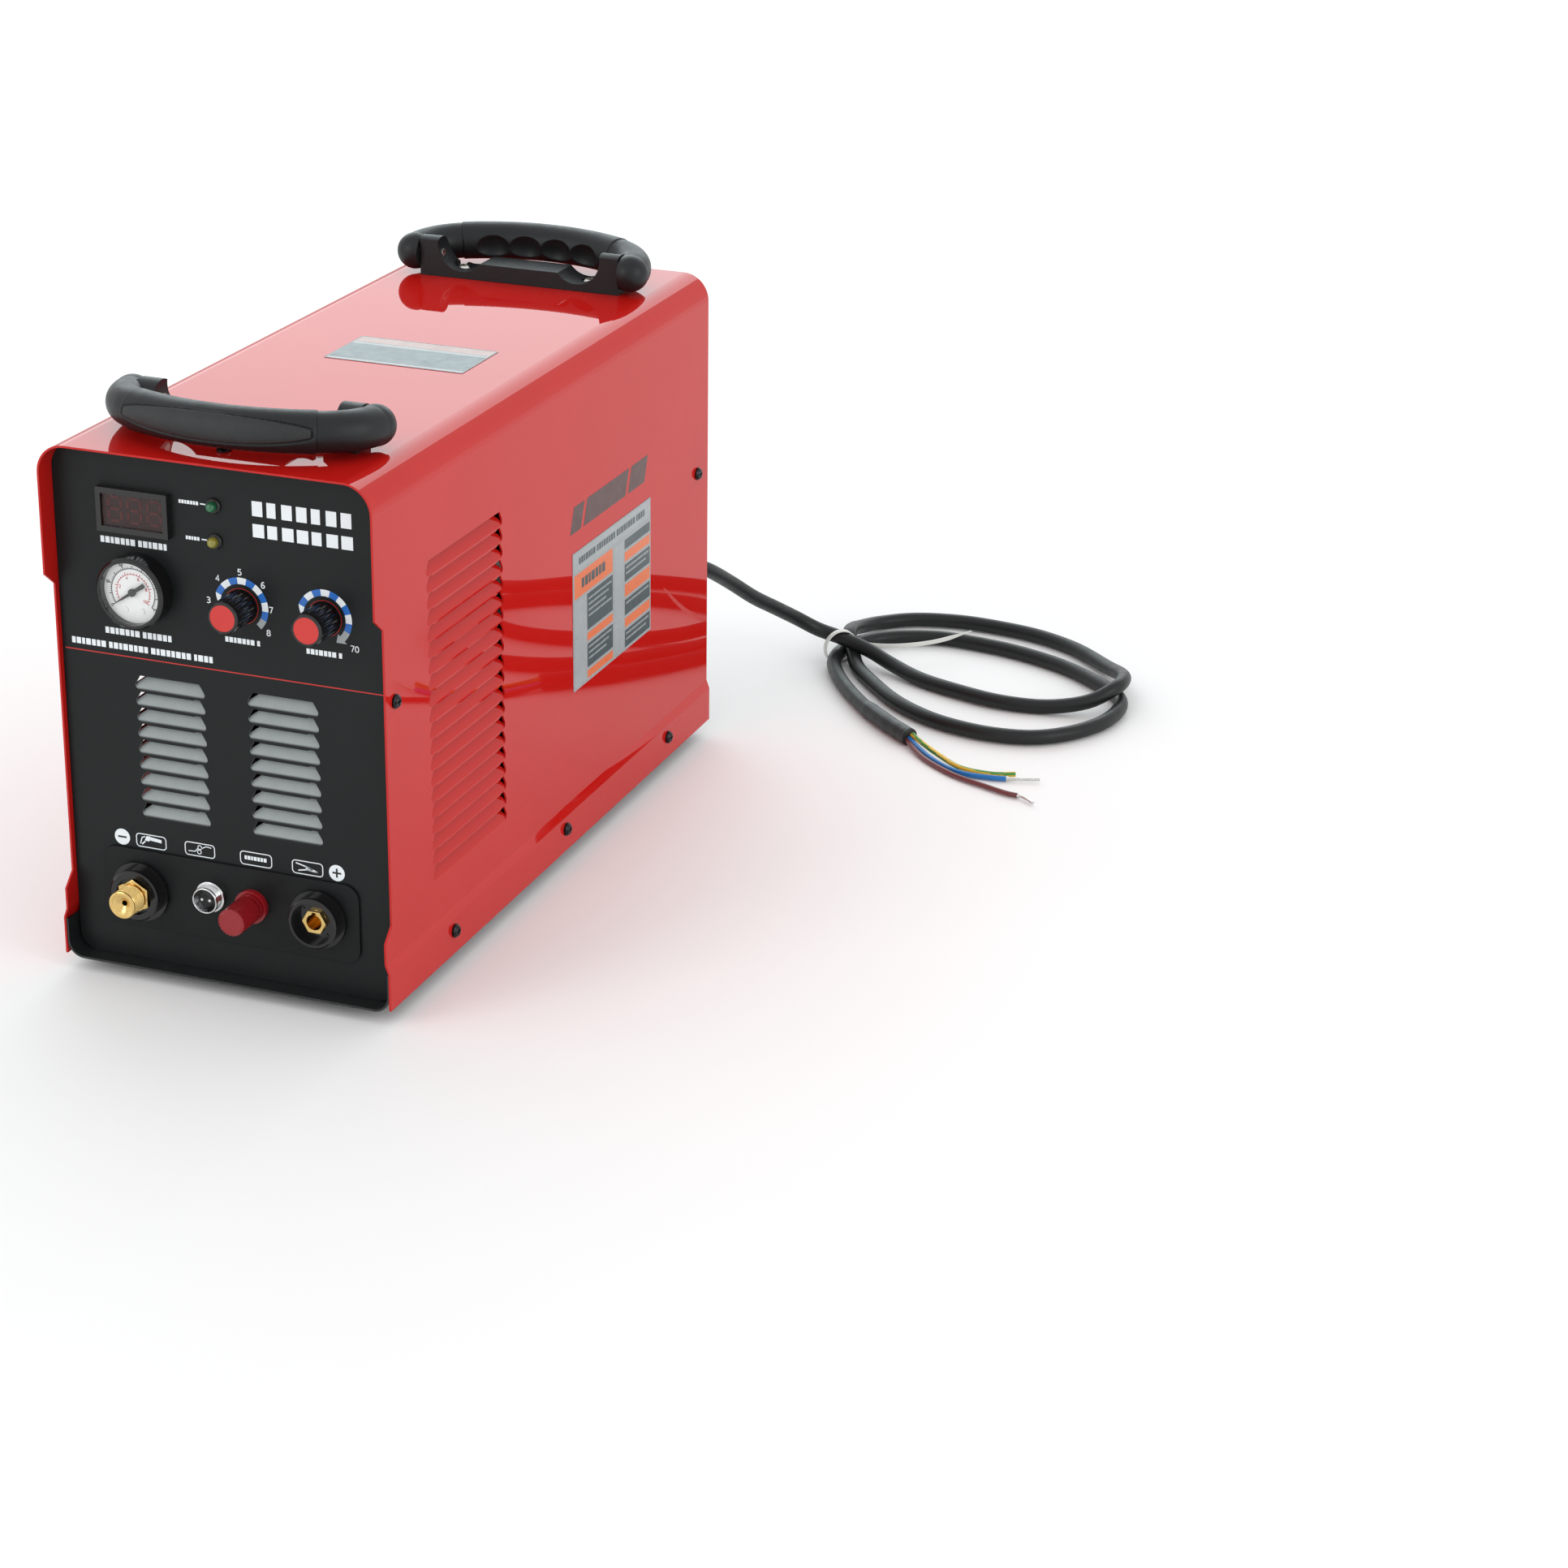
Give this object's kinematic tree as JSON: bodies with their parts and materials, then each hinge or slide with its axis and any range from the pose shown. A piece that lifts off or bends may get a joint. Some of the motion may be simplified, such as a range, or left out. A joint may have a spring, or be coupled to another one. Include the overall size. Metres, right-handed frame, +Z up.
{
  "type": "plasma cutter unit",
  "caption": "Portable inverter plasma cutter: louvred sheet-steel case, recessed control panel with gauge, meter, knobs and sockets, two folding carry handles, mains lead.",
  "frame": {"origin": "on the ground plane under the feet, midway along and across the unit without its lead", "axes": "+Z up, -Y out of the front panel, +X to the right of a person facing the front panel"},
  "size_m": [0.4566, 0.75, 0.34],
  "materials": {
    "cover_paint": "gloss",
    "panel_paint": "fine texture",
    "pan_paint": "satin",
    "rubber_black": "matt",
    "screw_black": "black zinc",
    "screw_bright": "zinc",
    "label_film": "satin print",
    "black_plastic": "matt",
    "window_red": "gloss",
    "display_red": "matt",
    "led_green": "gloss",
    "led_yellow": "gloss",
    "dial_white": "satin",
    "needle_black": "satin",
    "lens_clear": "gloss",
    "knob_black": "satin",
    "knob_red": "gloss",
    "brass": "machined",
    "chrome": "polished",
    "pilot_red": "gloss",
    "handle_black": "grained",
    "fan_black": "matt",
    "guard_wire": "bright",
    "rocker_red": "gloss",
    "board_green": "satin",
    "heatsink_al": "extruded",
    "core_iron": "varnished",
    "regulator_al": "cast",
    "hose_blue": "satin",
    "cord_black": "satin",
    "core_colours": "satin",
    "sleeve_black": "matt",
    "tie_white": "matt"
  },
  "bodies": {
    "unit": {"base_pan": "pan_paint", "rubber_feet": "rubber_black", "cover": "cover_paint", "front_panel": "panel_paint", "rear_panel": "panel_paint", "body_screws": "screw_black", "labels": "label_film", "connector_plate": "black_plastic", "meter_housing": "black_plastic", "meter_window": "window_red", "meter_display": "display_red", "led_clips": "black_plastic", "led_green": "led_green", "led_yellow": "led_yellow", "gauge_case": "black_plastic", "gauge_dial": "dial_white", "gauge_lens": "lens_clear", "torch_boss": "black_plastic", "torch_fitting": "brass", "signal_socket_shell": "chrome", "signal_socket_insert": "black_plastic", "signal_socket_pins": "brass", "pilot_post_collar": "pilot_red", "pilot_post_stud": "brass", "work_socket_ring": "black_plastic", "work_socket_core": "brass", "front_handle_bracket": "handle_black", "rear_handle_bracket": "handle_black", "handle_pins": "screw_bright", "handle_screws": "screw_bright", "fan_frame": "fan_black", "fan_guard": "guard_wire", "switch_housing": "black_plastic", "cable_gland": "black_plastic", "air_inlet": "brass", "regulator_body": "regulator_al", "control_board": "board_green", "power_board": "board_green", "heatsinks": "heatsink_al", "main_transformer": "core_iron", "solenoid_valve": "brass", "air_hoses": "hose_blue", "mains_cord": "cord_black", "cord_cores": "core_colours", "cord_sleeve": "sleeve_black", "cord_tie": "tie_white"},
    "rear_handle": {"rear_handle_grip": "handle_black", "rear_handle_elbows": "handle_black"},
    "front_handle": {"front_handle_grip": "handle_black", "front_handle_elbows": "handle_black"},
    "post_air": {"post_air_knob": "knob_black", "post_air_cap": "knob_red"},
    "current": {"current_knob": "knob_black", "current_cap": "knob_red"},
    "needle": {"gauge_needle": "needle_black"},
    "pilot_insert": {"pilot_post_insert": "brass"},
    "pilot_cap": {"pilot_post_cap": "pilot_red"},
    "fan": {"fan_rotor": "fan_black"},
    "rocker": {"switch_rocker": "rocker_red"},
    "regulator": {"regulator_knob": "knob_black"}
  },
  "joints": [
    {"name": "rear_handle_fold", "type": "hinge", "parent": "unit", "child": "rear_handle", "pos_m": [0, 0.17, 0.3255], "axis": [1, 0, 0], "range_deg": [0, 100]},
    {"name": "front_handle_fold", "type": "hinge", "parent": "unit", "child": "front_handle", "pos_m": [0, -0.181, 0.3255], "axis": [-1, 0, 0], "range_deg": [0, 100]},
    {"name": "post_air_turn", "type": "hinge", "parent": "unit", "child": "post_air", "pos_m": [0.0136, -0.238, 0.23], "axis": [0, 1, 0], "range_deg": [0, 280]},
    {"name": "current_turn", "type": "hinge", "parent": "unit", "child": "current", "pos_m": [0.0634, -0.238, 0.23], "axis": [0, 1, 0], "range_deg": [0, 280]},
    {"name": "needle_turn", "type": "hinge", "parent": "unit", "child": "needle", "pos_m": [-0.0482, -0.2355, 0.232], "axis": [0, 1, 0], "range_deg": [0, 250], "stiffness_Nm_per_rad": 0.0002, "springref_deg": -17.19},
    {"name": "pilot_slide", "type": "slide", "parent": "unit", "child": "pilot_insert", "axis": [0, -1, 0], "range_m": [0, 0.0045]},
    {"name": "pilot_turn", "type": "hinge", "parent": "pilot_insert", "child": "pilot_cap", "pos_m": [0.0133, -0.244, 0.0545], "axis": [0, -1, 0], "range_deg": [0, 1080]},
    {"name": "fan_spin", "type": "hinge", "parent": "unit", "child": "fan", "pos_m": [0, 0.2093, 0.205], "axis": [0, 1, 0], "continuous": true},
    {"name": "rocker_tilt", "type": "hinge", "parent": "unit", "child": "rocker", "pos_m": [-0.062, 0.22, 0.108], "axis": [-1, 0, 0], "range_deg": [0, 18]},
    {"name": "regulator_turn", "type": "hinge", "parent": "unit", "child": "regulator", "pos_m": [-0.035, 0.236, 0.062], "axis": [0, -1, 0], "range_deg": [0, 1080]}
  ],
  "couplings": [
    {"joint": "pilot_turn", "follows": "pilot_slide", "rad_per_m": 4188.8}
  ]
}
